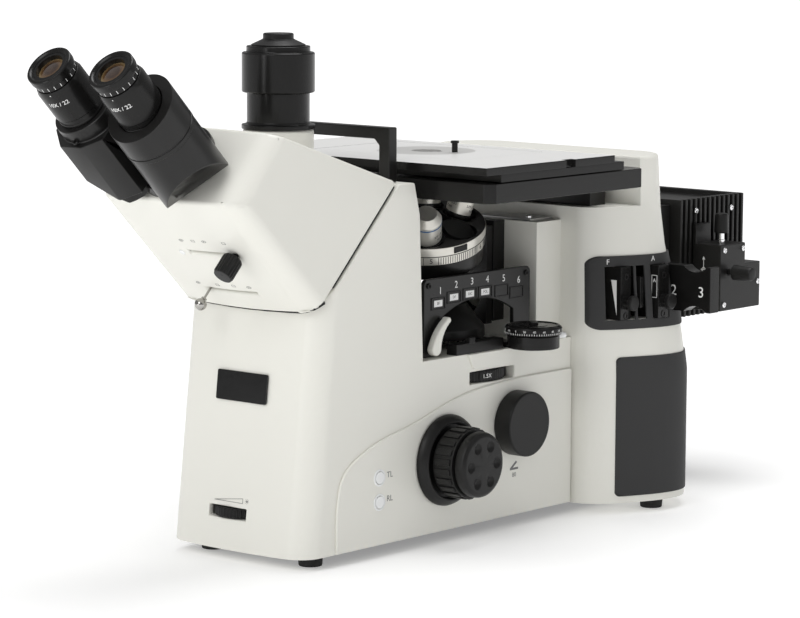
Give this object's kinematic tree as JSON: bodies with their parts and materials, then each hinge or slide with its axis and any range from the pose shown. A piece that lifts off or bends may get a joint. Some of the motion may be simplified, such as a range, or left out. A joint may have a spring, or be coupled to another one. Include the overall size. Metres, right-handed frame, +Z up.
{
  "type": "inverted microscope",
  "caption": "Inverted reflected-light microscope with binocular tubes, mechanical stage, tilted nosepiece turret, coaxial focus drive and rear lamp house.",
  "frame": {"origin": "on the bench, at the middle of the bounding box; the mid-plane of the stand is at x = -0.0100 m and the optical axis at y = 0.0161 m", "axes": "+Z up, -Y towards the user at the eyepieces, +Y towards the lamp house, +X to the side with the diaphragm units and the side port"},
  "size_m": [0.308, 0.8062, 0.421],
  "materials": {
    "white_paint": "satin",
    "black_paint": "satin",
    "black_plastic": "matte",
    "grey_rubber": "matte",
    "black_rubber": "matte",
    "bare_metal": "satin",
    "chrome": "polished",
    "satin_alloy": "satin",
    "black_alloy": "anodised",
    "glass": "coated",
    "white_plastic": "gloss",
    "board_green": "matte"
  },
  "bodies": {
    "stand": {"main_stand": "white_paint", "rear_tower": "white_paint", "tower_trims": "grey_rubber", "base_plate": "black_paint", "rubber_feet": "black_rubber", "side_panels": "white_paint", "head_housing": "white_paint", "binocular_base": "black_paint", "camera_tube": "black_alloy", "guard_frame": "black_paint", "name_plate": "black_plastic", "stage_base": "black_alloy", "inner_brackets": "black_paint", "focus_rings": "black_plastic", "reflector_cover": "black_paint", "lamp_house": "black_paint", "lamp_adaptor": "black_paint", "lamp_bracket": "black_paint", "lamp_bulb": "glass", "inner_optics": "glass", "control_board": "board_green", "power_inlet": "black_plastic"},
    "tube_right": {"tube_housing_right": "black_paint", "eyepiece_right": "black_alloy", "eyepiece_lens_right": "glass"},
    "tube_left": {"tube_housing_left": "black_paint", "eyepiece_left": "black_alloy", "eyepiece_lens_left": "glass"},
    "diopter_right": {"diopter_ring_right": "black_alloy"},
    "diopter_left": {"diopter_ring_left": "black_alloy"},
    "camera_cap": {"camera_port_cap": "black_plastic"},
    "selector": {"selector_knob": "black_plastic"},
    "ball": {"ball_lever": "chrome"},
    "stage_y": {"stage_carriage": "black_alloy"},
    "stage_x": {"stage_top": "white_paint", "stage_insert_frame": "bare_metal"},
    "insert": {"stage_insert": "bare_metal"},
    "nosepiece": {"nosepiece_carrier": "black_paint"},
    "turret": {"nosepiece_turret": "satin_alloy", "objectives": "satin_alloy", "nosepiece_plugs": "black_plastic"},
    "coarse": {"coarse_drive": "black_plastic"},
    "fine": {"fine_drive": "black_plastic"},
    "port_cap": {"side_port_cap": "black_plastic"},
    "button_transmitted": {"lamp_button_transmitted": "white_plastic"},
    "button_reflected": {"lamp_button_reflected": "white_plastic"},
    "dimmer": {"dimmer_wheel": "black_plastic"},
    "magnification": {"magnification_wheel": "black_plastic"},
    "reflector": {"reflector_wheel": "black_plastic"},
    "shutter": {"shutter_lever": "white_paint"},
    "analyser": {"analyser_slider": "black_alloy"},
    "analyser_dial": {"analyser_dial": "black_alloy"},
    "field": {"field_unit": "black_alloy"},
    "aperture": {"aperture_unit": "black_alloy"},
    "field_lever": {"field_lever": "black_alloy"},
    "filters": {"filter_slider": "black_alloy"},
    "lamp_knob_upright": {"lamp_knob_upright": "black_plastic"},
    "lamp_knob_level": {"lamp_knob_level": "black_plastic"},
    "switch": {"power_switch": "black_plastic"}
  },
  "joints": [
    {"name": "tube_right_swing", "type": "hinge", "parent": "stand", "child": "tube_right", "pos_m": [-0.01, -0.2829, 0.324], "axis": [0, -0.7071, 0.7071], "range_deg": [-8, 8]},
    {"name": "tube_left_swing", "type": "hinge", "parent": "stand", "child": "tube_left", "pos_m": [-0.01, -0.2829, 0.324], "axis": [0, -0.7071, 0.7071], "range_deg": [-8, 8]},
    {"name": "diopter_right_turn", "type": "hinge", "parent": "tube_right", "child": "diopter_right", "pos_m": [0.023, -0.29704, 0.30986], "axis": [0, -0.7071, 0.7071], "range_deg": [-120, 120]},
    {"name": "diopter_left_turn", "type": "hinge", "parent": "tube_left", "child": "diopter_left", "pos_m": [-0.043, -0.29704, 0.30986], "axis": [0, -0.7071, 0.7071], "range_deg": [-120, 120]},
    {"name": "camera_cap_lift", "type": "slide", "parent": "stand", "child": "camera_cap", "axis": [0, 0, 1], "range_m": [0, 0.03]},
    {"name": "selector_slide", "type": "slide", "parent": "stand", "child": "selector", "axis": [1, 0, 0], "range_m": [-0.044, 0]},
    {"name": "ball_lever_slide", "type": "slide", "parent": "stand", "child": "ball", "axis": [1, 0, 0], "range_m": [0, 0.048]},
    {"name": "stage_y_travel", "type": "slide", "parent": "stand", "child": "stage_y", "axis": [0, 1, 0], "range_m": [-0.005, 0.035]},
    {"name": "stage_x_travel", "type": "slide", "parent": "stage_y", "child": "stage_x", "axis": [1, 0, 0], "range_m": [-0.025, 0.025]},
    {"name": "insert_turn", "type": "hinge", "parent": "stage_x", "child": "insert", "pos_m": [-0.01, 0.0161, 0.316], "axis": [0, 0, 1], "continuous": true},
    {"name": "focus_travel", "type": "slide", "parent": "stand", "child": "nosepiece", "axis": [0, 0, 1], "range_m": [-0.0025, 0.0065]},
    {"name": "turret_turn", "type": "hinge", "parent": "nosepiece", "child": "turret", "pos_m": [-0.01, 0.0161, 0.18029], "axis": [0.2198, -0.262, 0.9397], "continuous": true},
    {"name": "coarse_turn", "type": "hinge", "parent": "stand", "child": "coarse", "pos_m": [-0.01, -0.0499, 0.07], "axis": [1, 0, 0], "range_deg": [-21, 53]},
    {"name": "fine_turn", "type": "hinge", "parent": "stand", "child": "fine", "pos_m": [-0.01, -0.0499, 0.07], "axis": [1, 0, 0], "continuous": true},
    {"name": "port_cap_pull", "type": "slide", "parent": "stand", "child": "port_cap", "axis": [1, 0, 0], "range_m": [0, 0.025]},
    {"name": "button_transmitted_press", "type": "slide", "parent": "stand", "child": "button_transmitted", "axis": [-1, 0, 0], "range_m": [0, 0.0011], "stiffness_N_per_m": 900, "springref_m": -0.001},
    {"name": "button_reflected_press", "type": "slide", "parent": "stand", "child": "button_reflected", "axis": [-1, 0, 0], "range_m": [0, 0.0011], "stiffness_N_per_m": 900, "springref_m": -0.001},
    {"name": "dimmer_turn", "type": "hinge", "parent": "stand", "child": "dimmer", "pos_m": [-0.0165, -0.20145, 0.04], "axis": [0, 0, 1], "range_deg": [-135, 135]},
    {"name": "magnification_turn", "type": "hinge", "parent": "stand", "child": "magnification", "pos_m": [0.0245, 0.0141, 0.133], "axis": [0, 0, 1], "range_deg": [0, 120]},
    {"name": "reflector_turn", "type": "hinge", "parent": "stand", "child": "reflector", "pos_m": [0.006, 0.0081, 0.162], "axis": [0, 0, 1], "continuous": true},
    {"name": "shutter_swing", "type": "hinge", "parent": "stand", "child": "shutter", "pos_m": [0.054, -0.0509, 0.164], "axis": [1, 0, 0], "range_deg": [-35, 0]},
    {"name": "analyser_slide", "type": "slide", "parent": "stand", "child": "analyser", "axis": [1, 0, 0], "range_m": [0, 0.02]},
    {"name": "analyser_turn", "type": "hinge", "parent": "analyser", "child": "analyser_dial", "pos_m": [0.082, 0.0471, 0.154], "axis": [0, 0, 1], "continuous": true},
    {"name": "field_unit_pull", "type": "slide", "parent": "stand", "child": "field", "axis": [1, 0, 0], "range_m": [0, 0.03]},
    {"name": "aperture_unit_pull", "type": "slide", "parent": "stand", "child": "aperture", "axis": [1, 0, 0], "range_m": [0, 0.03]},
    {"name": "field_lever_swing", "type": "hinge", "parent": "stand", "child": "field_lever", "pos_m": [-0.01, 0.1641, 0.192], "axis": [0, 1, 0], "range_deg": [-4, 4]},
    {"name": "filter_push", "type": "slide", "parent": "stand", "child": "filters", "axis": [1, 0, 0], "range_m": [-0.06, 0]},
    {"name": "lamp_upright_turn", "type": "hinge", "parent": "stand", "child": "lamp_knob_upright", "pos_m": [0.066, 0.3421, 0.231], "axis": [0, 0, 1], "continuous": true},
    {"name": "lamp_level_turn", "type": "hinge", "parent": "stand", "child": "lamp_knob_level", "pos_m": [0.078, 0.3361, 0.192], "axis": [1, 0, 0], "continuous": true},
    {"name": "switch_rock", "type": "hinge", "parent": "stand", "child": "switch", "pos_m": [0.034, 0.2481, 0.06], "axis": [1, 0, 0], "range_deg": [-8, 8]}
  ],
  "couplings": [
    {"joint": "tube_left_swing", "follows": "tube_right_swing", "ratio": -1},
    {"joint": "coarse_turn", "follows": "focus_travel", "rad_per_m": 138.89}
  ]
}
